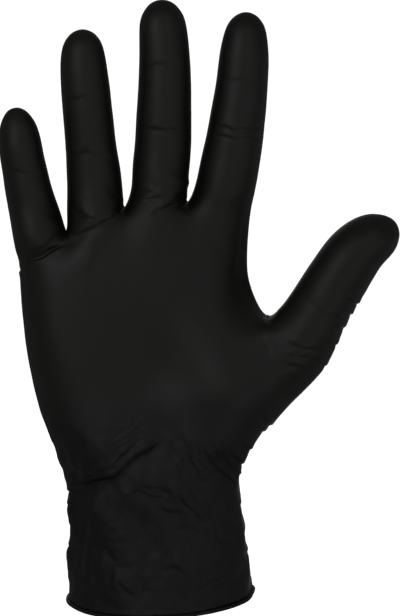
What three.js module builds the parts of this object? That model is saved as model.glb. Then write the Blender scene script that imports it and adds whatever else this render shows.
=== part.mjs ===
import * as THREE from "three";

// Nitrile exam glove, as it sits on a right hand with the palm to the front (-Y) and the thumb at +X.
// Millimetres, fingers up (+Z). The origin is the middle of the cuff opening.

// Film and rolled edge
const WALL = 1;
const BEAD_DIAMETER = 1.6;
const CLEARANCE = 0.3;

// Cuff, wrist and palm
const CUFF_LENGTH = 50;
const CUFF_WIDTH = 72.8;
const CUFF_DEPTH = 54;
const CUFF_SLANT = 3.6;
const CUFF_DIP = 3;
const WRIST_WIDTH = 68.8;
const WRIST_DEPTH = 44;
const PALM_LENGTH = 108;
const PALM_WIDTH = 92;
const PALM_DEPTH = 30;

// Fingers and thumb: length past the palm, width at the middle joint, and lean towards the thumb side
const LITTLE_LENGTH = 54.4;
const LITTLE_WIDTH = 18.4;
const LITTLE_LEAN_DEG = -9.5;
const RING_LENGTH = 75.8;
const RING_WIDTH = 20.4;
const RING_LEAN_DEG = -3.6;
const MIDDLE_LENGTH = 82.4;
const MIDDLE_WIDTH = 22.4;
const MIDDLE_LEAN_DEG = 1.4;
const INDEX_LENGTH = 78.3;
const INDEX_WIDTH = 22.4;
const INDEX_LEAN_DEG = 7.5;
const THUMB_LENGTH = 74.4;
const THUMB_WIDTH = 25.2;
const THUMB_LEAN_DEG = 41.2;

// Depth of the main folds and of the loose waves in the cuff
const FOLD_DEPTH = 1.8;
const CUFF_WAVE = 1.3;

// Rings round the cuff and the palm, from the opening up.
// zone and at: share of the cuff's or the palm's length; follow: 0 cuff, 1 wrist, 2 palm sizes;
// left and right: shares of that width; little, mid, thumb: front depth there; back: back depth;
// spread: how far the columns have moved from even spacing to the fingers' places;
// edge: front depth of the last column where the thumb grows out; thumbRow: which row of the thumb's base it is.
const RINGS = [
  { zone: "cuff", at: 0, follow: 0, left: 0.505, right: 0.508, little: 0.5, mid: 0.5, thumb: 0.5, back: 0.5, spread: 0 },
  { zone: "cuff", at: 0.2, follow: 0.2, left: 0.521, right: 0.499, little: 0.5, mid: 0.5, thumb: 0.5, back: 0.5, spread: 0 },
  { zone: "cuff", at: 0.44, follow: 0.45, left: 0.517, right: 0.479, little: 0.49, mid: 0.48, thumb: 0.5, back: 0.5, spread: 0 },
  { zone: "cuff", at: 0.68, follow: 0.7, left: 0.53, right: 0.472, little: 0.49, mid: 0.47, thumb: 0.49, back: 0.5, spread: 0 },
  { zone: "cuff", at: 0.88, follow: 0.9, left: 0.543, right: 0.453, little: 0.5, mid: 0.49, thumb: 0.5, back: 0.5, spread: 0.05 },
  { zone: "palm", at: 0.011, follow: 1, left: 0.559, right: 0.455, little: 0.5, mid: 0.5, thumb: 0.52, back: 0.49, spread: 0.15 },
  { zone: "palm", at: 0.093, follow: 1.3, left: 0.552, right: 0.468, little: 0.53, mid: 0.49, thumb: 0.58, back: 0.48, spread: 0.3 },
  { zone: "palm", at: 0.181, follow: 1.6, left: 0.554, right: 0.537, little: 0.58, mid: 0.48, thumb: 0.69, back: 0.48, spread: 0.45 },
  { zone: "palm", at: 0.278, follow: 1.8, left: 0.568, right: 0.616, little: 0.625, mid: 0.45, thumb: 0.8, back: 0.48, spread: 0.6, edge: 0.42, thumbRow: "low" },
  { zone: "palm", at: 0.426, follow: 2, left: 0.578, right: 0.52, little: 0.65, mid: 0.42, thumb: 0.88, back: 0.5, spread: 0.75, edge: 0.76, thumbRow: "middle" },
  { zone: "palm", at: 0.574, follow: 2, left: 0.6, right: 0.461, little: 0.6, mid: 0.41, thumb: 0.68, back: 0.49, spread: 0.85, edge: 0.4, thumbRow: "high" },
  { zone: "palm", at: 0.685, follow: 2, left: 0.609, right: 0.4, little: 0.55, mid: 0.42, thumb: 0.55, back: 0.48, spread: 0.95 },
  { zone: "palm", at: 0.789, follow: 2, left: 0.617, right: 0.378, little: 0.5, mid: 0.44, thumb: 0.52, back: 0.46, spread: 1 },
];

// The last ring, where the fingers begin: height as a share of the palm's length for each column,
// front and back corners and middles in turn, then the crotches between the fingers.
const FINGER_LINE = {
  left: 0.63, right: 0.39, depth: 0.46, webDepth: 0.34,
  columns: [0.852, 0.838, 0.868, 0.905, 0.958, 0.965, 0.978, 0.96, 0.945],
  sides: [0.85, 0.955],
  crotches: [0.892, 0.996, 1.014],
};

// Columns across the front and the back, from the little finger's side (-1) to the thumb's (+1)
const EVEN_COLUMNS = [-0.951, -0.809, -0.588, -0.309, 0, 0.309, 0.588, 0.809, 0.951];
const FINGER_COLUMNS = [-0.94, -0.78, -0.556, -0.31, -0.06, 0.214, 0.479, 0.744, 0.93];

// Fingers. x and z: base as shares of the palm's width and length; forward: base and tip curl as shares of
// the finger's width. Sections: at, share of the length; side, width and depth, shares of the width.
const FINGERS = [
  {
    length: LITTLE_LENGTH, width: LITTLE_WIDTH, lean: LITTLE_LEAN_DEG, x: -0.52, z: 0.87, curl: 0.42,
    sections: [
      { at: 0.113, side: -0.01, width: 1.093, depth: 1.12 },
      { at: 0.264, side: -0.041, width: 1.029, depth: 1.0 },
      { at: 0.414, side: -0.07, width: 0.986, depth: 0.96 },
      { at: 0.564, side: -0.073, width: 0.943, depth: 0.9 },
      { at: 0.713, side: -0.07, width: 0.9, depth: 0.85 },
      { at: 0.838, side: -0.045, width: 0.804, depth: 0.73 },
      { at: 0.92, side: -0.031, width: 0.622, depth: 0.55 },
      { at: 0.971, side: -0.014, width: 0.386, depth: 0.33 },
    ],
  },
  {
    length: RING_LENGTH, width: RING_WIDTH, lean: RING_LEAN_DEG, x: -0.278, z: 0.952, curl: 0.5,
    sections: [
      { at: 0.095, side: 0.013, width: 1.076, depth: 1.1 },
      { at: 0.227, side: 0.014, width: 1.057, depth: 1.02 },
      { at: 0.36, side: 0, width: 0.992, depth: 0.97 },
      { at: 0.492, side: -0.014, width: 0.959, depth: 0.92 },
      { at: 0.625, side: -0.024, width: 0.949, depth: 0.88 },
      { at: 0.757, side: -0.034, width: 0.916, depth: 0.82 },
      { at: 0.868, side: -0.031, width: 0.841, depth: 0.72 },
      { at: 0.942, side: -0.014, width: 0.665, depth: 0.56 },
      { at: 0.979, side: -0.005, width: 0.391, depth: 0.34 },
    ],
  },
  {
    length: MIDDLE_LENGTH, width: MIDDLE_WIDTH, lean: MIDDLE_LEAN_DEG, x: -0.013, z: 0.996, curl: 0.4,
    sections: [
      { at: 0.078, side: 0.038, width: 0.991, depth: 1.04 },
      { at: 0.199, side: 0.054, width: 1.0, depth: 0.96 },
      { at: 0.321, side: 0.082, width: 1.0, depth: 0.93 },
      { at: 0.457, side: 0.084, width: 0.964, depth: 0.9 },
      { at: 0.593, side: 0.09, width: 0.928, depth: 0.84 },
      { at: 0.748, side: 0.069, width: 0.875, depth: 0.78 },
      { at: 0.874, side: 0.029, width: 0.821, depth: 0.69 },
      { at: 0.942, side: 0.011, width: 0.661, depth: 0.54 },
      { at: 0.981, side: 0.002, width: 0.393, depth: 0.33 },
    ],
  },
  {
    length: INDEX_LENGTH, width: INDEX_WIDTH, lean: INDEX_LEAN_DEG, x: 0.259, z: 0.996, curl: 0.35,
    sections: [
      { at: 0.084, side: 0.051, width: 1.062, depth: 1.05 },
      { at: 0.214, side: 0.082, width: 1.053, depth: 0.98 },
      { at: 0.344, side: 0.103, width: 1.009, depth: 0.94 },
      { at: 0.489, side: 0.109, width: 0.965, depth: 0.9 },
      { at: 0.633, side: 0.1, width: 0.912, depth: 0.83 },
      { at: 0.776, side: 0.076, width: 0.868, depth: 0.77 },
      { at: 0.878, side: 0.047, width: 0.761, depth: 0.66 },
      { at: 0.944, side: 0.026, width: 0.602, depth: 0.51 },
      { at: 0.98, side: 0.009, width: 0.354, depth: 0.31 },
    ],
  },
];

const THUMB = {
  length: THUMB_LENGTH, width: THUMB_WIDTH, lean: THUMB_LEAN_DEG, x: 0.478, z: 0.426, curl: 0.36, start: -0.3,
  sections: [
    { at: 0.161, side: 0.138, width: 1.215, depth: 1.16 },
    { at: 0.297, side: 0.08, width: 1.054, depth: 1.04 },
    { at: 0.443, side: -0.008, width: 0.992, depth: 0.98 },
    { at: 0.579, side: -0.072, width: 0.978, depth: 0.95 },
    { at: 0.707, side: -0.13, width: 0.94, depth: 0.94 },
    { at: 0.811, side: -0.13, width: 0.86, depth: 0.87 },
    { at: 0.891, side: -0.065, width: 0.745, depth: 0.73 },
    { at: 0.94, side: -0.03, width: 0.575, depth: 0.54 },
    { at: 0.975, side: -0.012, width: 0.35, depth: 0.33 },
  ],
};

// Main folds and mounds on the front. from, via and to: x as a share of the palm's width and z as a share of
// the cuff's and palm's length together; reach: half width as a share of the palm's width;
// rise: share of FOLD_DEPTH, up or down.
const FOLDS = [
  { name: "wrist fold", from: [-0.39, 0.29], via: [-0.2, 0.33], to: [0.065, 0.42], reach: 0.032, rise: 0.9 },
  { name: "wrist groove", from: [-0.35, 0.33], via: [-0.17, 0.37], to: [0.04, 0.45], reach: 0.032, rise: -0.9 },
  { name: "little finger crease", from: [-0.41, 0.92], via: [-0.47, 0.873], to: [-0.61, 0.846], reach: 0.03, rise: -1.1 },
  { name: "thenar crease", from: [0.478, 0.71], via: [0.2, 0.682], to: [0.02, 0.628], reach: 0.06, rise: -0.9 },
  { name: "ring web valley", from: [-0.15, 0.97], via: [-0.2, 0.93], to: [-0.3, 0.86], reach: 0.035, rise: -0.5 },
  { name: "thumb side wrist fold", from: [0.052, 0.387], via: [0.1, 0.28], to: [0.19, 0.197], reach: 0.032, rise: 0.8 },
  { name: "thumb side wrist groove", from: [0.196, 0.402], via: [0.239, 0.349], to: [0.326, 0.291], reach: 0.032, rise: -0.8 },
];

// Soft waves round the cuff. around: degrees from the thumb side, palm first; at: share of the cuff's length;
// wide: degrees; tall: share of the cuff's length; rise: share of CUFF_WAVE.
const WAVES = [
  { around: 255, at: 0.55, wide: 22, tall: 0.3, rise: -1 },
  { around: 238, at: 0.2, wide: 14, tall: 0.3, rise: 0.8 },
  { around: 300, at: 0.3, wide: 16, tall: 0.3, rise: 0.7 },
  { around: 322, at: 0.62, wide: 14, tall: 0.3, rise: -0.8 },
  { around: 200, at: 0.6, wide: 16, tall: 0.35, rise: 0.6 },
  { around: 40, at: 0.5, wide: 20, tall: 0.35, rise: -0.7 },
  { around: 95, at: 0.35, wide: 24, tall: 0.4, rise: 0.9 },
  { around: 140, at: 0.55, wide: 18, tall: 0.35, rise: -0.8 },
];

const COLUMNS = EVEN_COLUMNS.length;
const AROUND = 2 * COLUMNS + 2;
const THUMB_SIDE = COLUMNS;
const LITTLE_SIDE = AROUND - 1;
const backColumn = (column) => AROUND - 2 - column;

const mix = (a, b, share) => a + (b - a) * share;

// A size that changes from the cuff's to the wrist's to the palm's
function sizeAt(follow, sizes) {
  const step = Math.min(1, Math.floor(follow));
  return mix(sizes[step], sizes[step + 1], follow - step);
}

// Front depth across a ring, from its three stations, rounded off towards the sides
function depthAcross(ring, column) {
  const share = THREE.MathUtils.smoothstep(Math.abs(column), 0, 0.62);
  const depth = mix(ring.mid, column < 0 ? ring.little : ring.thumb, share);
  return depth * edgeRounding(column, ring.follow);
}

function edgeRounding(column, follow) {
  const power = mix(2, 2.5, Math.min(1, follow / 2));
  return (1 - Math.abs(column) ** power) ** (1 / power);
}

function ringHeight(ring) {
  return ring.zone === "cuff" ? ring.at * CUFF_LENGTH : CUFF_LENGTH + ring.at * PALM_LENGTH;
}

// One ring of the cage: front from the little finger's side, thumb side, back, little finger's side
function ringPoints(ring) {
  const width = sizeAt(ring.follow, [CUFF_WIDTH, WRIST_WIDTH, PALM_WIDTH]);
  const depth = sizeAt(ring.follow, [CUFF_DEPTH, WRIST_DEPTH, PALM_DEPTH]);
  const left = -ring.left * width;
  const right = ring.right * width;
  const middle = (left + right) / 2;
  const half = (right - left) / 2;
  const loose = ring.zone === "cuff" ? 1 - ring.at : 0;
  const place = (column, y) => {
    const hang = loose * ((CUFF_SLANT * column) / 2 + (CUFF_DIP * y) / (depth / 2));
    return new THREE.Vector3(middle + half * column, y, ringHeight(ring) + hang);
  };
  const columns = EVEN_COLUMNS.map((even, i) => mix(even, FINGER_COLUMNS[i], ring.spread));
  const front = columns.map((c) => place(c, -depth * depthAcross(ring, c)));
  if (ring.edge) front[front.length - 1].y = -depth * ring.edge;
  const back = columns.map((c) => place(c, depth * ring.back * edgeRounding(c, ring.follow)));
  return [...front, place(1, 0), ...back.reverse(), place(-1, 0)];
}

function fingerLinePoints() {
  const left = -FINGER_LINE.left * PALM_WIDTH;
  const right = FINGER_LINE.right * PALM_WIDTH;
  const middle = (left + right) / 2;
  const half = (right - left) / 2;
  const height = (share) => CUFF_LENGTH + share * PALM_LENGTH;
  const place = (column, y, share) => new THREE.Vector3(middle + half * column, y, height(share));
  const isWeb = (i) => i === 2 || i === 4 || i === 6;
  const deep = (c, i) => PALM_DEPTH * (isWeb(i) ? FINGER_LINE.webDepth : FINGER_LINE.depth) * edgeRounding(c, 2);
  const front = FINGER_COLUMNS.map((c, i) => place(c, -deep(c, i), FINGER_LINE.columns[i]));
  const back = FINGER_COLUMNS.map((c, i) => place(c, deep(c, i), FINGER_LINE.columns[i]));
  const sides = [place(1, 0, FINGER_LINE.sides[1]), place(-1, 0, FINGER_LINE.sides[0])];
  const ring = [...front, sides[0], ...back.reverse(), sides[1]];
  const crotches = FINGER_LINE.crotches.map((share, i) => place(FINGER_COLUMNS[2 * i + 2], 0, share));
  return { ring, crotches };
}

// Loops of a finger, square to its curved middle line, and the point at its tip
function digitLoops(digit) {
  const lean = THREE.MathUtils.degToRad(digit.lean);
  const along = new THREE.Vector3(Math.sin(lean), 0, Math.cos(lean));
  const across = new THREE.Vector3(Math.cos(lean), 0, -Math.sin(lean));
  const root = new THREE.Vector3(digit.x * PALM_WIDTH, 0, CUFF_LENGTH + digit.z * PALM_LENGTH);
  const middleAt = (at, side) => {
    const forward = digit.width * mix(digit.start ?? 0, -digit.curl, at);
    return root.clone().addScaledVector(along, at * digit.length)
      .addScaledVector(across, side * digit.width).add(new THREE.Vector3(0, forward, 0));
  };
  const middles = digit.sections.map((s) => middleAt(s.at, s.side));
  const tip = middleAt(1, 0);
  const stations = [middleAt(0, 0), ...middles, tip];
  const loops = digit.sections.map((section, i) => {
    const ahead = stations[i + 2].clone().sub(stations[i]).normalize();
    const forward = new THREE.Vector3(0, -1, 0).addScaledVector(ahead, ahead.y).normalize();
    const sideways = ahead.clone().cross(forward).normalize();
    return Array.from({ length: 8 }, (_, k) => {
      const turn = (3 - k) * Math.PI / 4;
      return middles[i].clone()
        .addScaledVector(sideways, Math.cos(turn) * section.width * digit.width / 2)
        .addScaledVector(forward, Math.sin(turn) * section.depth * digit.width / 2);
    });
  });
  return { loops, tip };
}

// The cage of the whole film: palm rings, four fingers and a thumb
function buildCage() {
  const points = [];
  const faces = [];
  const add = (list) => list.map((p) => points.push(p) - 1);
  const join = (low, high) => {
    low.forEach((_, i) => {
      const next = (i + 1) % low.length;
      faces.push([low[i], low[next], high[next], high[i]]);
    });
  };
  const line = fingerLinePoints();
  const rings = [...RINGS.map(ringPoints), line.ring].map(add);
  const crotches = add(line.crotches);
  const [low, middle, high] = ["low", "middle", "high"].map((row) => RINGS.findIndex((r) => r.thumbRow === row));
  for (let r = 0; r < rings.length - 1; r += 1) {
    for (let i = 0; i < AROUND; i += 1) {
      const next = (i + 1) % AROUND;
      const underThumb = r >= low && r < high && (i === THUMB_SIDE - 1 || i === THUMB_SIDE);
      if (!underThumb) {
        faces.push([rings[r][i], rings[r][next], rings[r + 1][next], rings[r + 1][i]]);
      }
    }
  }
  const grow = (base, digit) => {
    const { loops, tip } = digitLoops(digit);
    const rows = [base, ...loops.map(add)];
    rows.slice(1).forEach((row, i) => join(rows[i], row));
    const last = rows[rows.length - 1];
    const [end] = add([tip]);
    [0, 2, 4, 6].forEach((k) => faces.push([last[k], last[k + 1], last[(k + 2) % 8], end]));
  };
  const top = rings[rings.length - 1];
  FINGERS.forEach((digit, k) => {
    const first = 2 * k;
    const right = k === 3 ? top[THUMB_SIDE] : crotches[k];
    const left = k === 0 ? top[LITTLE_SIDE] : crotches[k - 1];
    const front = [top[first], top[first + 1], top[first + 2]];
    const back = [first + 2, first + 1, first].map((c) => top[backColumn(c)]);
    grow([...front, right, ...back, left], digit);
  });
  const edge = COLUMNS - 1;
  const back = backColumn(edge);
  const thumbBase = [
    rings[high][edge], rings[middle][edge], rings[low][edge], rings[low][THUMB_SIDE],
    rings[low][back], rings[middle][back], rings[high][back], rings[high][THUMB_SIDE],
  ];
  grow(thumbBase, THUMB);
  return dropUnused({ points, faces });
}

function dropUnused({ points, faces }) {
  const index = new Map();
  faces.flat().forEach((i) => index.has(i) || index.set(i, index.size));
  const kept = [...index.keys()].map((i) => points[i]);
  return { points: kept, faces: faces.map((face) => face.map((i) => index.get(i))) };
}

// One step of smooth subdivision. The old points keep their places in the list.
function subdivide({ points, faces }) {
  const centre = (list) => {
    const sum = new THREE.Vector3();
    list.forEach((i) => sum.add(points[i]));
    return sum.divideScalar(list.length);
  };
  const facePoints = faces.map(centre);
  const edges = new Map();
  faces.forEach((face, f) => {
    face.forEach((a, k) => {
      const b = face[(k + 1) % face.length];
      const key = a < b ? `${a} ${b}` : `${b} ${a}`;
      if (!edges.has(key)) edges.set(key, { ends: [a, b], sides: [] });
      edges.get(key).sides.push(f);
    });
  });
  const around = points.map(() => ({ faces: [], mids: [], rim: [] }));
  faces.forEach((face, f) => face.forEach((i) => around[i].faces.push(f)));
  const next = points.map(() => new THREE.Vector3());
  facePoints.forEach((p) => next.push(p));
  edges.forEach((edge) => {
    const mid = centre(edge.ends);
    edge.index = next.length;
    const isRim = edge.sides.length === 1;
    const place = mid.clone();
    if (!isRim) {
      edge.sides.forEach((f) => place.addScaledVector(facePoints[f], 0.5));
      place.multiplyScalar(0.5);
    }
    next.push(place);
    edge.ends.forEach((i) => (isRim ? around[i].rim : around[i].mids).push(mid));
  });
  points.forEach((p, i) => {
    const { faces: near, mids, rim } = around[i];
    if (rim.length) {
      next[i].copy(p).multiplyScalar(0.5).addScaledVector(rim[0], 0.25).addScaledVector(rim[1], 0.25);
      return;
    }
    const n = near.length;
    near.forEach((f) => next[i].addScaledVector(facePoints[f], 1 / (n * n)));
    mids.forEach((m) => next[i].addScaledVector(m, 2 / (n * n)));
    next[i].addScaledVector(p, (n - 3) / n);
  });
  const edgeIndex = (a, b) => edges.get(a < b ? `${a} ${b}` : `${b} ${a}`).index;
  const split = faces.flatMap((face, f) => face.map((a, k) => {
    const after = face[(k + 1) % face.length];
    const before = face[(k + face.length - 1) % face.length];
    return [a, edgeIndex(a, after), points.length + f, edgeIndex(before, a)];
  }));
  return { points: next, faces: split };
}

// Moves the cage until the smooth surface passes through the places that the tables give
function fitCage(cage) {
  const goal = cage.points.map((p) => p.clone());
  const fitted = { points: goal.map((p) => p.clone()), faces: cage.faces };
  for (let round = 0; round < 10; round += 1) {
    const smooth = subdivide(subdivide(fitted));
    goal.forEach((p, i) => fitted.points[i].add(p).sub(smooth.points[i]));
  }
  return fitted;
}

function normalsOf({ points, faces }) {
  const normals = points.map(() => new THREE.Vector3());
  faces.forEach(([a, b, c, d]) => {
    const normal = points[c].clone().sub(points[a]).cross(points[d].clone().sub(points[b]));
    [a, b, c, d].forEach((i) => normals[i].add(normal));
  });
  return normals.map((n) => n.normalize());
}

// Distance from a point of the front to a fold's line, and how far along the line it is
function toFold(x, z, fold) {
  const total = CUFF_LENGTH + PALM_LENGTH;
  const stops = [fold.from, fold.via, fold.to].map(([u, v]) => new THREE.Vector2(u * PALM_WIDTH, v * total));
  const spot = new THREE.Vector2(x, z);
  let best = { distance: Infinity, along: 0 };
  for (let k = 0; k < 2; k += 1) {
    const way = stops[k + 1].clone().sub(stops[k]);
    const share = THREE.MathUtils.clamp(spot.clone().sub(stops[k]).dot(way) / way.lengthSq(), 0, 1);
    const distance = stops[k].clone().addScaledVector(way, share).distanceTo(spot);
    if (distance < best.distance) best = { distance, along: (k + share) / 2 };
  }
  return best;
}

function reliefAt(point, normal) {
  let rise = 0;
  const facing = THREE.MathUtils.smoothstep(-normal.y, 0.1, 0.6);
  FOLDS.forEach((fold) => {
    const { distance, along } = toFold(point.x, point.z, fold);
    const reach = fold.reach * PALM_WIDTH;
    const fade = Math.sin(Math.PI * mix(0.12, 0.88, along));
    rise += facing * fade * fold.rise * FOLD_DEPTH * Math.exp(-((distance / reach) ** 2));
  });
  const turn = THREE.MathUtils.radToDeg(Math.atan2(point.y, point.x));
  WAVES.forEach((wave) => {
    const off = THREE.MathUtils.euclideanModulo(turn - wave.around + 180, 360) - 180;
    const up = (point.z / CUFF_LENGTH - wave.at) / wave.tall;
    rise += wave.rise * CUFF_WAVE * Math.exp(-((off / wave.wide) ** 2) - up * up);
  });
  return rise;
}

// Outer surface of the film, and the points on its open edge in order
function outerSurface() {
  const coarse = subdivide(fitCage(buildCage()));
  const fine = subdivide(subdivide(coarse));
  const points = coarse.points.map((_, i) => fine.points[i]);
  const surface = { points, faces: coarse.faces };
  const normals = normalsOf(surface);
  const places = points.map((p, i) => p.clone().addScaledVector(normals[i], reliefAt(p, normals[i])));
  const shaped = { points: places, faces: coarse.faces };
  return { ...shaped, rim: rimLoop(shaped.faces) };
}

function rimLoop(faces) {
  const ways = new Map();
  const seen = new Set();
  faces.forEach((face) => face.forEach((a, k) => seen.add(`${a} ${face[(k + 1) % 4]}`)));
  seen.forEach((key) => {
    const [a, b] = key.split(" ").map(Number);
    if (!seen.has(`${b} ${a}`)) ways.set(a, b);
  });
  const start = ways.keys().next().value;
  const loop = [start];
  for (let i = ways.get(start); i !== start; i = ways.get(i)) loop.push(i);
  return loop;
}

// Normals for the inner wall; at the open edge they lie level, so that the edge is flat
function wallNormals(surface) {
  const normals = normalsOf(surface);
  surface.rim.forEach((i) => normals[i].setZ(0).normalize());
  return normals;
}

function geometryFrom(points, triangles) {
  const geometry = new THREE.BufferGeometry();
  geometry.setAttribute("position", new THREE.Float32BufferAttribute(points.flatMap((p) => p.toArray()), 3));
  geometry.setIndex(triangles.flat());
  geometry.computeVertexNormals();
  return geometry;
}

function filmGeometry(surface, normals) {
  const inner = surface.points.map((p, i) => p.clone().addScaledVector(normals[i], -WALL));
  const count = surface.points.length;
  const triangles = [];
  surface.faces.forEach(([a, b, c, d]) => {
    triangles.push([a, b, c], [a, c, d]);
    triangles.push([a + count, c + count, b + count], [a + count, d + count, c + count]);
  });
  surface.rim.forEach((a, k) => {
    const b = surface.rim[(k + 1) % surface.rim.length];
    triangles.push([a, a + count, b + count], [a, b + count, b]);
  });
  return geometryFrom([...surface.points, ...inner], triangles);
}

// The rolled edge: a round bead that runs round the outside of the opening
function beadGeometry(surface, normals) {
  const sides = 8;
  const radius = BEAD_DIAMETER / 2;
  const points = surface.rim.flatMap((i) => {
    const out = normals[i];
    const middle = surface.points[i].clone().addScaledVector(out, CLEARANCE + radius);
    middle.z += radius;
    return Array.from({ length: sides }, (_, k) => {
      const turn = (2 * Math.PI * (k + 0.5)) / sides;
      const round = radius / Math.cos(Math.PI / sides) * 0.98;
      const place = middle.clone().addScaledVector(out, Math.cos(turn) * round);
      place.z += Math.sin(turn) * round;
      return place;
    });
  });
  const triangles = [];
  const rings = surface.rim.length;
  for (let r = 0; r < rings; r += 1) {
    for (let k = 0; k < sides; k += 1) {
      const [a, b] = [r * sides + k, r * sides + ((k + 1) % sides)];
      const [c, d] = [((r + 1) % rings) * sides + ((k + 1) % sides), ((r + 1) % rings) * sides + k];
      triangles.push([a, c, b], [a, d, c]);
    }
  }
  return geometryFrom(points, triangles);
}

const black = (name) => new THREE.MeshStandardMaterial({ name, color: 0x1a1b1d, roughness: 0.5, metalness: 0 });

const surface = outerSurface();
const normals = wallNormals(surface);

const film = new THREE.Mesh(filmGeometry(surface, normals), black("film_black"));
film.name = "glove_film";

const bead = new THREE.Mesh(beadGeometry(surface, normals), black("bead_black"));
bead.name = "cuff_bead";

const glove = new THREE.Group();
glove.name = "nitrile_exam_glove";
glove.add(film, bead);

export default glove;
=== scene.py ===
"""A black nitrile exam glove in its worn form, with the palm forward and the wrist opening below."""

import bmesh
import bpy
import numpy as np
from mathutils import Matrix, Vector


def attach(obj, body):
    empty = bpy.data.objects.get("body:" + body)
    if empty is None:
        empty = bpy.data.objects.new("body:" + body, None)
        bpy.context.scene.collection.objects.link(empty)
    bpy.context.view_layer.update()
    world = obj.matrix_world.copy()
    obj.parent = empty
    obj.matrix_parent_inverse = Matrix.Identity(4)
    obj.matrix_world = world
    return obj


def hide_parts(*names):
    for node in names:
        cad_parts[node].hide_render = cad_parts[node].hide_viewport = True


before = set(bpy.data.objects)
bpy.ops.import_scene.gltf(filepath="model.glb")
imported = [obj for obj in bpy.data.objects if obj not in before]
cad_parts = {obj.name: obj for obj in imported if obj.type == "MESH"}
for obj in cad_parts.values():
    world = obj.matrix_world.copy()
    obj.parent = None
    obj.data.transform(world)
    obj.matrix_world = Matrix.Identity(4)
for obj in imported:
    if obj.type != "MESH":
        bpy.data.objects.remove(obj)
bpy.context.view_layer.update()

# Film: one skin of nitrile rubber, left on a hand-shaped former by dipping and then turned inside out.
# It is about 0.1 mm thick, tight over the fingers and the palm when it is worn, and loose over the wrist
# and the cuff, where it buckles into folds.
MM = 0.001
SAME_PLACE = 0.001
SKIN_LEVELS = 3

# Angles in radians: the outer skin ends at an edge sharper than the first, and the other two say how flat
# and how square a pair of triangles is that becomes one face.
SHARP_EDGE = 0.9
FLAT_PAIR = 0.7
SQUARE_PAIR = 0.9


def bake(piece):
    """Give the piece the mesh that its modifiers make, and take them off."""
    graph = bpy.context.evaluated_depsgraph_get()
    piece.data = bpy.data.meshes.new_from_object(piece.evaluated_get(graph))
    piece.modifiers.clear()


# The solid has an outer and an inner skin. The outer one is reached from its highest face.
shell = bmesh.new()
shell.from_mesh(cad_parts["glove_film"].data)
bmesh.ops.remove_doubles(shell, verts=shell.verts, dist=SAME_PLACE * MM)
top = max(shell.faces, key=lambda face: face.calc_center_median().z)
outside = {top}
waiting = [top]
while waiting:
    for edge in waiting.pop().edges:
        if len(edge.link_faces) == 2 and edge.calc_face_angle() < SHARP_EDGE:
            for face in edge.link_faces:
                if face not in outside:
                    outside.add(face)
                    waiting.append(face)
bmesh.ops.delete(shell, geom=[face for face in shell.faces if face not in outside], context="FACES")
bmesh.ops.join_triangles(shell, faces=shell.faces[:], angle_face_threshold=FLAT_PAIR,
                         angle_shape_threshold=SQUARE_PAIR)
cage = bpy.data.meshes.new("film_cage")
shell.to_mesh(cage)
shell.free()
film = bpy.data.objects.new("glove_film_dipped", cage)
bpy.context.scene.collection.objects.link(film)
smooth = film.modifiers.new("Smooth", "SUBSURF")
smooth.levels = smooth.render_levels = SKIN_LEVELS
bake(film)


def ramp(value, low, high):
    """0 at low, 1 at high, and a smooth step in between."""
    t = np.clip((value - low) / (high - low), 0, 1)
    return t * t * (3 - 2 * t)


def read(mesh, name):
    """A point attribute of the mesh, such as its places or its normals, as rows of three numbers."""
    values = np.empty(len(mesh.vertices) * 3)
    mesh.vertices.foreach_get(name, values)
    return values.reshape(-1, 3)


# The film bridges hollows where it is tight: over the palm, and half as much over the crotch of the thumb.
# Each pair says where that starts and where it is full: in the y of the normal for facing, and in mm of z
# above the wrist and below the fingers, of x beside the thumb, and of the way from the crotch.
TIGHT_FACING = (-0.2, -0.7)
TIGHT_ABOVE_WRIST = (58, 76)
TIGHT_BELOW_FINGERS = (138, 120)
TIGHT_BESIDE_THUMB = (74, 54)
CROTCH = (43, 108)
CROTCH_REACH = (11, 4)
CROTCH_SHARE = 0.5
TIGHT_LEVELS = 10
TIGHT_STEPS = 700

place = read(film.data, "co") / MM
normal = read(film.data, "normal")
tight = ramp(normal[:, 1], *TIGHT_FACING)
tight *= ramp(place[:, 2], *TIGHT_ABOVE_WRIST)
tight *= ramp(place[:, 2], *TIGHT_BELOW_FINGERS)
tight *= ramp(place[:, 0], *TIGHT_BESIDE_THUMB)
crotch = np.hypot(place[:, 0] - CROTCH[0], place[:, 2] - CROTCH[1])
tight = np.maximum(tight, CROTCH_SHARE * ramp(crotch, *CROTCH_REACH))
group = film.vertex_groups.new(name="tight")
for level in range(1, TIGHT_LEVELS + 1):
    members = np.flatnonzero(np.round(tight * TIGHT_LEVELS) == level)
    group.add(members.tolist(), level / TIGHT_LEVELS, "REPLACE")
span = film.modifiers.new("Span", "SMOOTH")
span.vertex_group = "tight"
span.factor = 0.5
span.iterations = TIGHT_STEPS
bake(film)
film.vertex_groups.clear()

# The sides that relief lies on, with the y of the film's normal where each starts and is full.
# The palm faces -y. "round" goes round the edge of the glove, and "front" leaves the edge as it is.
SIDES = {"palm": (0.35, -0.25), "back": (-0.35, 0.25), "round": (0.95, 0.4), "front": (-0.1, -0.65)}

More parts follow.
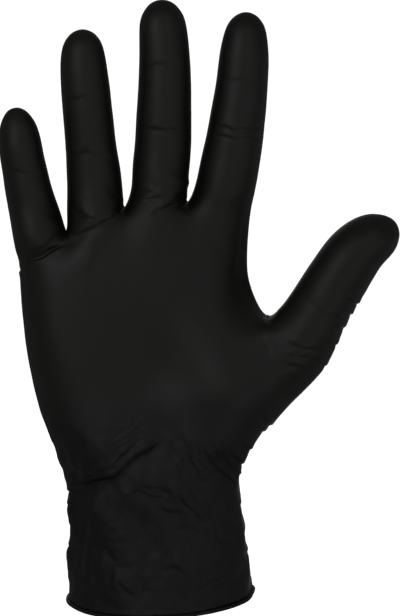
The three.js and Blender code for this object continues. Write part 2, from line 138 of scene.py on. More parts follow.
# Single folds: width, depth and shoulder in mm, the side they lie on, and their run in x and z, in mm.
# The shoulder is the film that stands up beside the fold, on the side that its sign says.
FOLDS = [
    # Creases across the fingers.
    (0.7, 0.16, 0.10, "palm", [(23.6, 207.8), (28.3, 209.0), (33.3, 209.4), (38.1, 207.9), (41.5, 205.5)]),
    (0.6, 0.34, 0.20, "palm", [(20.2, 191.2), (23.6, 190.1), (28.3, 189.4), (33.8, 189.8), (38.7, 190.5),
                               (41.8, 191.5)]),
    (0.6, 0.28, 0.14, "palm", [(20.2, 187.3), (24.4, 186.2), (29.9, 185.9), (34.7, 186.6), (40.5, 186.8)]),
    (0.7, 0.16, 0.08, "palm", [(-8.1, 213.7), (-3.2, 214.9), (2.3, 215.7), (7.0, 214.9), (11.0, 213.3)]),
    (0.6, 0.34, 0.18, "palm", [(-9.2, 188.8), (-4.0, 190.2), (0.7, 189.8), (5.8, 188.6), (11.8, 188.4)]),
    (0.7, 0.16, 0.08, "palm", [(-38.1, 200.4), (-32.3, 202.0), (-26.8, 202.0), (-22.2, 200.4),
                               (-19.2, 197.9)]),
    (0.7, 0.20, 0.10, "palm", [(-37.7, 180.7), (-31.7, 180.3), (-26.2, 179.6), (-20.7, 178.7),
                               (-16.9, 177.6)]),
    (0.7, 0.14, 0.08, "palm", [(-62.9, 171.1), (-57.1, 172.8), (-52.3, 172.8), (-47.7, 171.1),
                               (-44.4, 168.5)]),
    # Small folds under the roots of the fingers.
    (1.0, 0.60, 0.75, "round", [(-37.4, 146.4), (-39.6, 142.8), (-42.7, 140.0), (-46.3, 138.4),
                                (-49.6, 137.6), (-52.9, 137.0), (-55.5, 135.5), (-57.6, 133.3)]),
    (0.6, 0.40, 0.30, "round", [(-49.6, 135.5), (-52.9, 134.9), (-55.5, 133.1), (-58.0, 130.5)]),
    (0.5, 0.24, 0.14, "palm", [(-32.7, 157.2), (-30.7, 156.9), (-28.7, 156.1)]),
    (0.5, 0.28, 0.16, "palm", [(-31.9, 155.2), (-29.5, 154.9), (-27.1, 153.8), (-24.7, 153.8)]),
    (0.6, 0.34, 0.20, "palm", [(-24.7, 151.8), (-22.3, 153.0), (-19.9, 154.5), (-17.6, 157.1)]),
    (0.8, 0.30, 0.15, "palm", [(-36.0, 148.6), (-32.7, 148.1), (-29.5, 148.6), (-25.9, 150.6),
                               (-22.3, 152.6)]),
    (0.5, 0.26, 0.16, "palm", [(-9.7, 162.6), (-7.2, 163.9), (-4.4, 164.8), (-1.7, 164.9)]),
    (0.5, 0.28, 0.16, "palm", [(-6.8, 161.2), (-4.1, 162.1), (-1.3, 162.5), (1.5, 163.7)]),
    (0.5, 0.20, 0.12, "palm", [(-8.0, 158.8), (-4.1, 159.7), (-0.1, 160.5)]),
    (0.7, 0.45, 0.22, "palm", [(-4.4, 155.0), (-1.7, 156.6), (0.7, 158.2), (3.1, 158.9), (7.1, 158.8),
                               (11.1, 159.5)]),
    (1.1, 0.20, -0.10, "palm", [(-15.3, 157.7), (-17.2, 154.4), (-19.1, 150.6), (-20.7, 147.0),
                               (-22.7, 142.3), (-25.1, 138.4), (-27.9, 134.4), (-30.2, 130.9)]),
    (1.0, 0.55, 0.05, "palm", [(12.3, 160.7), (10.3, 158.9), (7.5, 158.0)]),
    (1.0, 0.55, 0.05, "palm", [(-12.9, 158.4), (-14.9, 156.9), (-16.8, 155.6)]),
    # The left of the wrist.
    (1.8, 1.60, 0.90, "round", [(-39.1, 45.7), (-34.6, 46.8), (-30.5, 47.9), (-25.6, 49.3), (-21.6, 50.8),
                                (-18.8, 52.1), (-16.0, 54.1), (-12.8, 56.5), (-9.6, 58.0), (-6.8, 59.9),
                                (-4.1, 61.9), (-0.1, 64.9), (3.1, 67.7)]),
    (0.9, 0.60, 0.40, "round", [(-39.1, 46.9), (-32.1, 49.2), (-28.0, 51.0), (-24.8, 52.1), (-21.6, 54.5),
                                (-18.8, 56.1), (-16.8, 57.7), (-14.4, 60.1), (-12.0, 62.4), (-9.3, 64.7),
                                (-5.7, 67.1)]),
    (0.5, 0.22, 0.16, "palm", [(-19.2, 67.0), (-16.0, 69.7), (-12.8, 71.6), (-9.6, 74.7), (-6.5, 78.2)]),
    (0.5, 0.26, 0.18, "palm", [(-18.0, 65.0), (-14.4, 66.9), (-12.0, 68.4), (-9.2, 70.8), (-7.3, 73.1)]),
    (0.5, 0.18, 0.12, "palm", [(-20.0, 61.3), (-16.0, 63.7), (-12.0, 66.0), (-7.3, 69.1)]),
    (0.5, 0.45, 0.35, "round", [(-39.5, 41.5), (-35.5, 43.5), (-32.1, 45.2)]),
    (0.5, 0.25, 0.20, "round", [(-39.5, 36.6), (-35.6, 38.8), (-31.4, 39.5)]),
    # The middle and the right of the wrist.
    (0.5, 0.26, 0.16, "palm", [(4.3, 64.7), (5.5, 60.8), (6.7, 57.0), (8.2, 53.5), (9.4, 49.0)]),
    (0.55, 0.45, 0.28, "palm", [(7.5, 46.7), (8.7, 43.0), (10.6, 40.1), (13.0, 37.3), (15.5, 34.6),
                                (17.9, 32.4)]),
    (0.5, 0.26, 0.18, "palm", [(9.1, 69.1), (10.2, 64.8), (11.0, 60.9), (12.6, 56.9), (14.2, 53.1),
                               (15.8, 48.6)]),
    (0.5, 0.22, 0.14, "palm", [(13.4, 61.7), (15.0, 58.0), (17.0, 54.6), (19.5, 50.7)]),
    (0.6, 0.42, 0.26, "palm", [(17.4, 67.4), (17.8, 62.3), (19.4, 58.0), (21.5, 54.4), (24.0, 51.1),
                               (26.9, 47.7), (30.7, 44.1)]),
    (0.6, 0.46, 0.30, "round", [(23.4, 64.3), (24.6, 59.8), (26.3, 56.5), (28.0, 53.1), (31.2, 49.4),
                                (33.2, 48.5)]),
    (0.5, 0.30, 0.22, "round", [(20.5, 66.5), (22.2, 61.3), (24.3, 56.3), (27.2, 51.9), (29.8, 48.0)]),
    (0.6, 0.50, 0.40, "round", [(27.4, 62.7), (29.6, 58.8), (31.9, 54.3), (34.0, 52.7)]),
    (0.6, 0.35, 0.28, "round", [(31.0, 66.8), (34.4, 63.4), (38.0, 60.1)]),
    # The cuff.
    (0.9, 0.30, 0.16, "palm", [(-13.6, 40.0), (-13.2, 42.8), (-11.6, 44.9), (-8.8, 45.7), (-4.9, 44.9),
                               (-0.9, 44.1), (3.1, 43.8)]),
    (1.0, 0.26, 0.16, "palm", [(-10.4, 46.9), (-5.6, 47.8), (-0.9, 47.4), (3.1, 46.2), (5.5, 43.4)]),
    (0.8, 0.32, 0.18, "palm", [(-0.1, 40.5), (2.3, 38.4), (4.7, 36.9), (7.9, 37.7)]),
    (0.7, 0.32, 0.18, "palm", [(2.3, 30.0), (5.1, 29.3), (7.5, 30.5), (9.9, 32.0)]),
    (0.6, 0.28, 0.16, "palm", [(11.9, 31.2), (15.5, 30.2), (19.5, 29.8)]),
    (0.6, 0.36, 0.20, "palm", [(20.7, 29.2), (22.7, 26.2), (25.6, 24.2), (28.9, 23.2)]),
    (0.6, 0.22, 0.12, "palm", [(8.7, 26.2), (10.3, 23.8), (11.5, 21.4)]),
    (0.6, 0.22, 0.12, "palm", [(11.9, 24.5), (15.4, 23.6), (19.1, 24.0)]),
    (0.9, 0.26, 0.15, "palm", [(-5.7, 19.3), (-2.9, 17.8), (0.3, 17.9)]),
    (0.8, 0.26, 0.18, "palm", [(0.3, 15.9), (3.9, 15.2), (8.3, 14.9)]),
    (1.1, 0.34, 0.20, "palm", [(-25.3, 32.1), (-24.1, 28.2), (-22.0, 23.9), (-19.2, 20.2), (-16.8, 17.6)]),
    (0.9, 0.30, 0.18, "palm", [(-20.4, 15.8), (-19.6, 11.9), (-18.4, 8.5), (-17.2, 5.8)]),
    (0.7, 0.36, 0.22, "palm", [(-16.8, 10.6), (-14.8, 8.4), (-12.4, 6.1), (-10.0, 4.2)]),
    (0.8, 0.22, 0.12, "palm", [(-26.5, 7.8), (-24.1, 4.9), (-20.8, 3.4)]),
    (0.7, 0.34, 0.20, "palm", [(15.8, 9.0), (19.5, 9.8), (23.5, 10.8), (28.0, 12.0), (32.2, 13.3)]),
    (0.7, 0.28, 0.16, "palm", [(17.8, 7.2), (22.3, 7.8), (27.2, 8.6), (31.4, 9.3)]),
    (0.7, 0.35, 0.25, "round", [(-38.4, 18.8), (-34.8, 21.7), (-30.6, 22.5)]),
    (0.7, 0.25, 0.18, "round", [(-38.4, 28.3), (-33.9, 31.6), (-29.7, 31.6)]),
    (0.7, 0.35, 0.25, "round", [(27.2, 18.4), (31.4, 18.6), (36.2, 18.0)]),
    (0.6, 0.25, 0.18, "round", [(26.4, 40.8), (29.8, 38.8), (33.3, 36.2)]),
    # The thumb, its base and the edge below it.
    (0.6, 0.26, 0.18, "palm", [(51.2, 105.0), (54.0, 103.9), (56.8, 102.6), (60.4, 102.1), (64.1, 102.7)]),
    (0.6, 0.24, 0.16, "palm", [(50.8, 101.1), (54.0, 99.9), (57.2, 99.4), (60.8, 100.0)]),
    (0.6, 0.26, 0.18, "palm", [(49.6, 98.0), (52.9, 96.3), (56.1, 94.9), (59.4, 94.7)]),
    (0.8, 0.16, 0.08, "palm", [(56.9, 122.8), (60.7, 119.9), (65.4, 117.2), (71.2, 114.9)]),
    (2.0, 0.15, 0.10, "palm", [(39.0, 110.3), (41.2, 106.8), (43.0, 103.2), (44.5, 99.0), (46.9, 93.9)]),
    (0.6, 0.40, 0.30, "round", [(73.4, 122.1), (76.0, 121.2), (80.5, 119.2)]),
    (0.6, 0.40, 0.30, "round", [(71.1, 117.3), (73.7, 116.3), (78.1, 113.9)]),
    (0.6, 0.34, 0.28, "round", [(68.0, 112.2), (71.0, 110.7), (75.3, 108.2)]),
    (0.6, 0.30, 0.26, "round", [(64.8, 107.1), (67.8, 105.2), (72.6, 102.6)]),
    (0.6, 0.30, 0.24, "round", [(61.3, 98.3), (63.9, 96.4), (67.8, 93.6)]),
    (0.6, 0.35, 0.28, "round", [(38.9, 75.0), (41.9, 71.8), (45.3, 68.7)]),
    (0.6, 0.35, 0.28, "round", [(36.5, 71.7), (39.6, 68.7), (43.3, 66.2)]),
    # Long creases under the roots of the fingers.
    (1.1, 0.25, 0.35, "palm", [(-50.0, 138.5), (-42.0, 141.5), (-34.0, 146.0), (-26.0, 150.5),
                               (-18.0, 155.0), (-13.0, 158.5)]),
    (2.8, 0.25, 0.70, "palm", [(-52.0, 139.5), (-44.0, 144.0), (-38.0, 149.0)]),
    (2.8, 0.20, 0.80, "palm", [(-30.0, 150.5), (-24.0, 153.5), (-18.0, 157.0), (-14.0, 161.0)]),
    (2.8, 0.20, 0.80, "palm", [(0.0, 158.0), (6.0, 160.0), (10.0, 164.0), (12.5, 169.0)]),
]

# Bands of near-parallel wrinkles: how many, width and depth in mm, the side, and their first and last run.
BANDS = [
    (4, 0.6, 0.10, "palm",
     [(-30.0, 52.0), (-14.0, 62.0), (0.0, 70.0)], [(-22.0, 62.0), (-9.0, 71.0), (4.0, 78.0)]),
    (9, 0.7, 0.24, "palm",
     [(4.0, 66.0), (8.0, 52.0), (16.0, 38.0)], [(28.0, 70.0), (29.0, 58.0), (33.0, 48.0)]),
    (6, 0.6, 0.12, "palm",
     [(50.0, 112.0), (60.0, 108.0), (70.0, 104.0)], [(40.0, 90.0), (50.0, 88.0), (58.0, 84.0)]),
    (5, 0.6, 0.09, "palm",
     [(-9.5, 155.0), (0.0, 155.0), (9.0, 156.0)], [(-9.0, 167.0), (1.0, 169.0), (10.0, 167.0)]),
    (5, 0.6, 0.09, "palm",
     [(-36.0, 149.0), (-28.0, 149.0), (-20.0, 153.0)], [(-36.0, 158.0), (-29.0, 162.0), (-19.0, 162.0)]),
    (6, 0.7, 0.10, "palm",
     [(-36.0, 6.0), (-14.0, 4.0), (6.0, 6.0)], [(-34.0, 40.0), (-20.0, 36.0), (4.0, 34.0)]),
    (6, 0.7, 0.10, "palm",
     [(6.0, 6.0), (20.0, 6.0), (36.0, 10.0)], [(6.0, 38.0), (20.0, 42.0), (36.0, 38.0)]),
    (7, 0.8, 0.30, "back",
     [(-34.0, 40.0), (0.0, 44.0), (32.0, 42.0)], [(-32.0, 62.0), (0.0, 66.0), (34.0, 64.0)]),
    (6, 1.0, 0.22, "back",
     [(-34.0, 8.0), (-6.0, 5.0), (32.0, 10.0)], [(-33.0, 34.0), (4.0, 30.0), (32.0, 34.0)]),
    (4, 0.7, 0.22, "back",
     [(-8.0, 186.0), (2.0, 187.5), (11.0, 186.0)], [(-8.0, 193.0), (2.0, 195.0), (11.0, 193.0)]),
    (4, 0.7, 0.22, "back",
     [(20.5, 184.0), (30.0, 186.5), (39.0, 186.0)], [(21.5, 191.0), (31.0, 194.0), (40.0, 192.5)]),
    (4, 0.7, 0.22, "back",
     [(-36.5, 177.0), (-27.0, 178.0), (-18.0, 175.0)], [(-36.5, 184.0), (-27.5, 186.0), (-19.0, 183.0)]),
    (3, 0.7, 0.18, "back",
     [(-60.0, 155.0), (-51.0, 156.0), (-42.0, 152.0)], [(-61.0, 161.0), (-52.5, 163.0), (-44.0, 159.0)]),
]

# A wrinkle of a band strays from its even place, by a share of the spacing and in mm, and its points in mm.
# Up to a part of each end is missing, and its width and depth vary. Its shoulder is a share of its depth.
SEED = 7
STRAY = 0.3
SHIFT = 0.5
SHAKE = 0.35
MISSING_END = 0.4
WRINKLE_POINTS = 7
WRINKLE_WIDTHS = (0.8, 1.3)
WRINKLE_DEPTHS = (0.6, 1.3)
WRINKLE_SHOULDER = 0.6

# Across a fold, in its widths: how far it reaches at all, where the groove gives way to the shoulder,
# and how softly each of them runs out. The last value is the share of its length that each end fades over.
FOLD_REACH = 5
GROOVE_END = 0.3
SHOULDER_START = 0.9
GROOVE_FALL = 2.2
SHOULDER_FALL = 3.2
FOLD_END = 0.2

# Every fold wanders off its run by a coarse and a fine sine of these heights, in mm.
COARSE = 0.5
FINE = 0.25


def beside(spot, run):
    """How far each spot lies off the run, signed by its side, and how far along it, from 0 to 1."""
    nearest = np.full(len(spot), np.inf)
    across = np.zeros(len(spot))
    share = np.zeros(len(spot))
    steps = np.linalg.norm(np.diff(run, axis=0), axis=1)
    gone = 0.0
    for start, end, step in zip(run[:-1], run[1:], steps):
        way = (end - start) / step
        along = np.clip((spot - start) @ way, 0, step)
        gap = spot - start - along[:, None] * way
        far = np.linalg.norm(gap, axis=1)
        closer = far < nearest
        nearest = np.where(closer, far, nearest)
        across = np.where(closer, np.sign(way[0] * gap[:, 1] - way[1] * gap[:, 0]) * far, across)
        share = np.where(closer, (gone + along) / steps.sum(), share)
        gone += step
    return across, share


rng = np.random.default_rng(SEED)
runs = [(width, depth, shoulder, side, np.array(points)) for width, depth, shoulder, side, points in FOLDS]
for number, width, depth, side, first, last in BANDS:
    first = np.array(first)
    last = np.array(last)
    for k in range(number):
        share = (k + 0.5 + rng.uniform(-STRAY, STRAY)) / number
        run = first + (last - first) * share + rng.normal(0, SHIFT, first.shape)
        cut = np.sort(rng.uniform(0, 1, 2))
        cut = (cut[0] * MISSING_END, 1 - (1 - cut[1]) * MISSING_END)
        along = np.linspace(cut[0], cut[1], WRINKLE_POINTS) * (len(run) - 1)
        run = np.stack([np.interp(along, range(len(run)), run[:, i]) for i in (0, 1)], 1)
        run += rng.normal(0, SHAKE, run.shape)
        runs.append((width * rng.uniform(*WRINKLE_WIDTHS), depth * rng.uniform(*WRINKLE_DEPTHS),
                     depth * WRINKLE_SHOULDER, side, run))

place = read(film.data, "co") / MM
normal = read(film.data, "normal")
sides = {side: ramp(normal[:, 1], *ends) for side, ends in SIDES.items()}
front = place[:, [0, 2]].copy()
front[:, 0] += COARSE * np.sin(place[:, 2] / 3.1) + FINE * np.sin(place[:, 2] / 1.3 + 1)
front[:, 1] += COARSE * np.sin(place[:, 0] / 2.7 + 2) + FINE * np.sin(place[:, 0] / 1.1)
lift = np.zeros(len(place))
for width, depth, shoulder, side, run in runs:
    reach = FOLD_REACH * width
    near = np.all((front > run.min(0) - reach) & (front < run.max(0) + reach), 1) & (sides[side] > 0)
    across, share = beside(front[near], run)
    upper = across * np.sign(shoulder) / width
    groove = -depth * np.exp(-(np.minimum(upper + GROOVE_END, 0) / GROOVE_FALL) ** 2)
    groove *= ramp(upper, SHOULDER_START, -GROOVE_END)
    stand = abs(shoulder) * np.exp(-(np.maximum(upper - SHOULDER_START, 0) / SHOULDER_FALL) ** 2)
    stand *= ramp(upper, -GROOVE_END, SHOULDER_START)
    ends = ramp(share, 0, FOLD_END) * ramp(share, 1, 1 - FOLD_END)
    lift[near] += (groove + stand) * ends * sides[side][near]

# Soft waves of the loose film: wavelength and height in mm, and how many are laid over each other.
WAVES = [(17.0, 0.42, 5), (8.5, 0.19, 7), (4.2, 0.05, 9)]

# The waves fade out up the wrist, from the lower z to the higher, to a share that is left on the tight film.
# Their crests run more up the glove than round it, and bend. A turn is a full circle in radians.
SLACK_FULL = 54
SLACK_TOP = 84
SLACK_LEFT = 0.1
HEADING = (1, 1, 0.7)
SPACINGS = (0.8, 1.25)
BEND = 0.9
BEND_RATE = 0.6
TURN = 6.283
PHASES = (0, 6)

slack = SLACK_LEFT + (1 - SLACK_LEFT) * ramp(place[:, 2], SLACK_TOP, SLACK_FULL)
for length, height, number in WAVES:
    for wave in range(number):
        heading = rng.normal(size=3) * HEADING
        heading *= TURN / length / np.linalg.norm(heading) * rng.uniform(*SPACINGS)
        bend = BEND * np.sin(place @ np.roll(heading, 1) * BEND_RATE + rng.uniform(*PHASES))
        lift += height / number ** 0.5 * np.sin(place @ heading + bend + rng.uniform(*PHASES)) * slack

# Places where the film stands out or sinks in: the side, x and z, reach in x and z, and height, all in mm.
SWELLS = [
    ("round", 43.0, 110.0, 5.0, 5.0, 1.6),
    ("round", 92.0, 148.0, 10.0, 10.0, 0.9),
    ("round", -55.0, 184.0, 9.0, 9.0, 0.3),
    ("front", 32.0, 84.0, 16.0, 12.0, 2.0),
    ("front", 0.0, 78.0, 14.0, 10.0, 1.4),
    ("front", 38.0, 107.0, 7.0, 7.0, 0.8),
    ("front", 46.0, 103.0, 9.0, 8.0, -0.8),
    ("front", 12.0, 162.0, 6.0, 6.0, -0.6),
    ("front", -51.0, 141.0, 12.0, 9.0, 1.3),
    ("front", -21.0, 151.0, 8.0, 7.0, 0.8),
    ("front", -30.0, 49.0, 13.0, 5.0, -2.2),
    ("front", 32.0, 58.0, 12.0, 10.0, 3.0),
    ("front", 28.0, 24.0, 13.0, 30.0, 3.0),
    ("front", -36.0, 20.0, 9.0, 36.0, -2.4),
    ("palm", -22.0, 66.0, 18.0, 13.0, 1.8),
    ("palm", -8.0, 118.0, 15.0, 20.0, 1.6),
    ("front", 34.0, 132.0, 8.0, 26.0, -1.8),
    ("palm", -44.0, 112.0, 7.0, 26.0, 0.7),
    ("palm", -38.0, 84.0, 8.0, 18.0, 0.8),
    ("palm", -33.0, 158.0, 9.0, 8.0, 0.7),
    ("palm", -1.0, 168.0, 10.0, 9.0, 0.7),
    ("palm", -53.0, 150.0, 7.0, 9.0, 0.9),
]
for side, x, z, wide, high, height in SWELLS:
    lift += height * np.exp(-((place[:, 0] - x) / wide) ** 2 - ((place[:, 2] - z) / high) ** 2) * sides[side]

# Smoothing has drawn the skin in by about SKIN_OUT. The bead holds the film's edge, so relief fades to a
# share of itself over the heights above it. The cuff flares from FLARE_TOP down, over FLARE_HEIGHT. In mm.
SKIN_OUT = 0.45
EDGE_HEIGHTS = (1.0, 6.0)
EDGE_LEFT = 0.3
FLARE_TOP = 6
FLARE_HEIGHT = 9
CUFF_FLARE = 1.3

lift += SKIN_OUT
lift *= EDGE_LEFT + (1 - EDGE_LEFT) * ramp(place[:, 2] - place[:, 2].min(), *EDGE_HEIGHTS)
flare = np.clip((FLARE_TOP - place[:, 2]) / FLARE_HEIGHT, 0, 1) ** 2 * CUFF_FLARE
place[:, :2] += normal[:, :2] * flare[:, None]
place += normal * lift[:, None]
film.data.vertices.foreach_set("co", (place * MM).ravel())
film.data.update()

# The rim is the ring of points on the edges that only one face uses. The bead follows it.
used = np.empty(len(film.data.loops), int)
film.data.loops.foreach_get("edge_index", used)
pairs = np.empty(len(film.data.edges) * 2, int)
film.data.edges.foreach_get("vertices", pairs)
single = np.bincount(used, minlength=len(film.data.edges)) == 1
rim = place[np.unique(pairs.reshape(-1, 2)[single])]
rim = rim[np.argsort(np.arctan2(rim[:, 1], rim[:, 0]))]

# The wall goes inward, so it has an inner skin of as many triangles again. Thickness in mm.
SKIN_TRIANGLES = 96000
FILM_THICKNESS = 0.35

thin = film.modifiers.new("Thin", "DECIMATE")
thin.ratio = SKIN_TRIANGLES / (2 * len(film.data.polygons))
wall = film.modifiers.new("Wall", "SOLIDIFY")
wall.thickness = FILM_THICKNESS * MM
wall.offset = -1
bake(film)
film.data.polygons.foreach_set("use_smooth", [True] * len(film.data.polygons))
film.data.name = "glove_film_dipped"


def linear(code):
    """The linear colour of an sRGB hex code."""
    parts = [int(code[i:i + 2], 16) / 255 for i in (1, 3, 5)]
    return [p / 12.92 if p < 0.04045 else ((p + 0.055) / 1.055) ** 2.4 for p in parts] + [1]


def add(tree, kind, links=(), **values):
    """A node of that kind, with its properties or input values set and (input, socket) pairs linked."""
    node = tree.nodes.new(kind)
    for name, value in values.items():
        if name in node.bl_rna.properties:
            setattr(node, name, value)
        elif name[1:].isdigit():
            node.inputs[int(name[1:])].default_value = value
        else:
            node.inputs[name.replace("_", " ")].default_value = value
    for name, source in links:
        tree.links.new(source, node.inputs[name])
    return node


# The rubber is palest and smoothest where it is drawn tight, and duller where it is loose, which starts and
# is full at the two heights below. Over the same heights, down the wrist and the cuff, it is also darker:
# partly the slack film's own deeper black, partly painted shade for the light that falls off towards the
# bottom.
# Sizes and depths of its clouds, ripples and grain are in mm.
LOOSE_AND_SHADE_TOP = 92
LOOSE_AND_SHADE_FULL = 58
TIGHT_DARK = "#151712"
TIGHT_PALE = "#1a1c16"
# Partly the slack film's own darker tone, partly painted shade towards the bottom.
LOOSE_DARK_AND_SHADE = "#0b0c0a"
TIGHT_ROUGHNESS = (0.43, 0.49)
LOOSE_ROUGHER = 0.08
CLOUD_SIZE = 28
RIPPLE_SIZE = 5
RIPPLE_DEPTH = 0.6
GRAIN_SIZE = 0.55
GRAIN_DEPTH = 0.04
NOISE_RANGE = (0.3, 0.7)

# The mask for the loose film, which also carries the painted shade that darkens the film towards the bottom.
loose_and_shade = ramp(read(film.data, "co")[:, 2] / MM, LOOSE_AND_SHADE_TOP, LOOSE_AND_SHADE_FULL)
film.data.attributes.new("loose_and_shade", "FLOAT", "POINT").data.foreach_set("value", loose_and_shade)
dipped = bpy.data.materials.new("dipped_nitrile_film")
dipped.use_nodes = True
tree = dipped.node_tree
tree.nodes.clear()
where = add(tree, "ShaderNodeTexCoord").outputs["Object"]
looseness_and_shade = add(tree, "ShaderNodeAttribute", attribute_name="loose_and_shade").outputs["Fac"]
cloud = add(tree, "ShaderNodeTexNoise", [("Vector", where)], Scale=1 / (CLOUD_SIZE * MM), Detail=3.0,
            Roughness=0.55)
grain = add(tree, "ShaderNodeTexNoise", [("Vector", where)], Scale=1 / (GRAIN_SIZE * MM), Detail=2.0,
            Roughness=0.6)
ripple = add(tree, "ShaderNodeTexNoise", [("Vector", where)], Scale=1 / (RIPPLE_SIZE * MM), Detail=4.0,
             Roughness=0.55, Distortion=0.6)
colour = add(tree, "ShaderNodeMix", [("Factor", cloud.outputs["Fac"])], data_type="RGBA",
             _6=linear(TIGHT_DARK), _7=linear(TIGHT_PALE))
# Painted shade: the lower, loose film is mixed towards the darker black.
colour = add(tree, "ShaderNodeMix", [("Factor", looseness_and_shade), (6, colour.outputs[2])], data_type="RGBA",
             _7=linear(LOOSE_DARK_AND_SHADE))
rough = add(tree, "ShaderNodeMapRange", [("Value", cloud.outputs["Fac"])], From_Min=NOISE_RANGE[0],
            From_Max=NOISE_RANGE[1], To_Min=TIGHT_ROUGHNESS[0], To_Max=TIGHT_ROUGHNESS[1])
rough = add(tree, "ShaderNodeMath", [(0, looseness_and_shade), (2, rough.outputs[0])], operation="MULTIPLY_ADD",
            _1=LOOSE_ROUGHER)
deep = add(tree, "ShaderNodeMath", [(0, ripple.outputs["Fac"]), (1, looseness_and_shade)], operation="MULTIPLY")
waves = add(tree, "ShaderNodeBump", [("Height", deep.outputs[0])], Strength=0.2, Distance=RIPPLE_DEPTH * MM)
skin = add(tree, "ShaderNodeBump", [("Height", grain.outputs["Fac"]), ("Normal", waves.outputs[0])],
           Strength=0.5, Distance=GRAIN_DEPTH * MM)
shader = add(tree, "ShaderNodeBsdfPrincipled", [("Base Color", colour.outputs[2]),
                                                ("Roughness", rough.outputs[0]),
                                                ("Normal", skin.outputs[0])])
shader.inputs["Specular IOR Level"].default_value = 0.5
shader.inputs["IOR"].default_value = 1.5
add(tree, "ShaderNodeOutputMaterial", [("Surface", shader.outputs[0])])
film.data.materials.clear()
film.data.materials.append(dipped)
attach(film, "root")
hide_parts("glove_film")


# Rolled edge: the end of the film, rolled up on itself into a bead while the rubber is still wet.
# The bead keeps the thin cuff from tearing, and it is swept here along the edge that the film ends in.
BEAD_RADIUS = 0.8
BEAD_SPACING = 0.9
BEAD_SIDES = 20
BEAD_OUT = 0.25
FILM_IN_BEAD = 0.2
RIM_STRIDE = 4

# The bead's section has a notch where the roll ends, as deep as a share of its radius. The radius wanders by
# a share of itself, over a length in mm.
BEAD_NOTCH = 0.22
NOTCH_SHARPNESS = 14.0
UNEVENNESS = 0.12
UNEVEN_LENGTH = 9

line = rim[::RIM_STRIDE].copy()
line[:, :2] *= 1 + BEAD_OUT / np.linalg.norm(line[:, :2], axis=1)[:, None]
line[:, 2] -= BEAD_RADIUS - FILM_IN_BEAD
path = bpy.data.meshes.new("bead_path")
path.from_pydata([Vector(p) * MM for p in line], [(i, (i + 1) % len(line)) for i in range(len(line))], [])
bead = bpy.data.objects.new("cuff_bead_rolled", path)
bpy.context.scene.collection.objects.link(bead)

EDGE_BLACK = "#161717"
EDGE_ROUGHNESS = (0.42, 0.55)
EDGE_GRAIN_SIZE = 1.2
EDGE_GRAIN_DEPTH = 0.08

rolled = bpy.data.materials.new("rolled_nitrile_edge")
rolled.use_nodes = True
tree = rolled.node_tree
tree.nodes.clear()
where = add(tree, "ShaderNodeTexCoord").outputs["Object"]
grain = add(tree, "ShaderNodeTexNoise", [("Vector", where)], Scale=1 / (EDGE_GRAIN_SIZE * MM), Detail=3.0,
            Roughness=0.6)
rough = add(tree, "ShaderNodeMapRange", [("Value", grain.outputs["Fac"])], From_Min=NOISE_RANGE[0],
            From_Max=NOISE_RANGE[1], To_Min=EDGE_ROUGHNESS[0], To_Max=EDGE_ROUGHNESS[1])
skin = add(tree, "ShaderNodeBump", [("Height", grain.outputs["Fac"])], Strength=0.5,
           Distance=EDGE_GRAIN_DEPTH * MM)
shader = add(tree, "ShaderNodeBsdfPrincipled", [("Roughness", rough.outputs[0]),
                                                ("Normal", skin.outputs[0])])
shader.inputs["Base Color"].default_value = linear(EDGE_BLACK)
shader.inputs["Specular IOR Level"].default_value = 0.4
add(tree, "ShaderNodeOutputMaterial", [("Surface", shader.outputs[0])])

roll = bpy.data.node_groups.new("RolledEdge", "GeometryNodeTree")
roll.interface.new_socket("Geometry", in_out="INPUT", socket_type="NodeSocketGeometry")
INPUTS = {"Radius": BEAD_RADIUS * MM, "Notch": BEAD_NOTCH, "Spacing": BEAD_SPACING * MM,
          "Unevenness": UNEVENNESS}
sockets = {}
for name, value in INPUTS.items():
    socket = roll.interface.new_socket(name, in_out="INPUT", socket_type="NodeSocketFloat")
    sockets[socket.identifier] = value
roll.interface.new_socket("Geometry", in_out="OUTPUT", socket_type="NodeSocketGeometry")
given = add(roll, "NodeGroupInput").outputs

# The path, evened out, with a radius that wanders round 1.
curve = add(roll, "GeometryNodeMeshToCurve", [("Mesh", given["Geometry"])])
spline = add(roll, "GeometryNodeCurveSplineType", [("Curve", curve.outputs[0])], spline_type="CATMULL_ROM")
even = add(roll, "GeometryNodeResampleCurve", [("Curve", spline.outputs[0]), ("Length", given["Spacing"])],
           mode="LENGTH")
level = add(roll, "GeometryNodeSetCurveNormal", [("Curve", even.outputs[0])], mode="Z_UP")
spot = add(roll, "GeometryNodeInputPosition")
wander = add(roll, "ShaderNodeTexNoise", [("Vector", spot.outputs[0])], Scale=1 / (UNEVEN_LENGTH * MM),
             Detail=2.0)
swell = add(roll, "ShaderNodeMath", [(0, wander.outputs["Fac"])], operation="SUBTRACT", _1=0.5)
swell = add(roll, "ShaderNodeMath", [(0, swell.outputs[0]), (1, given["Unevenness"])], operation="MULTIPLY")
swell = add(roll, "ShaderNodeMath", [(0, swell.outputs[0])], operation="MULTIPLY_ADD", _1=2.0, _2=1.0)
uneven = add(roll, "GeometryNodeSetCurveRadius", [("Curve", level.outputs[0]), ("Radius", swell.outputs[0])])

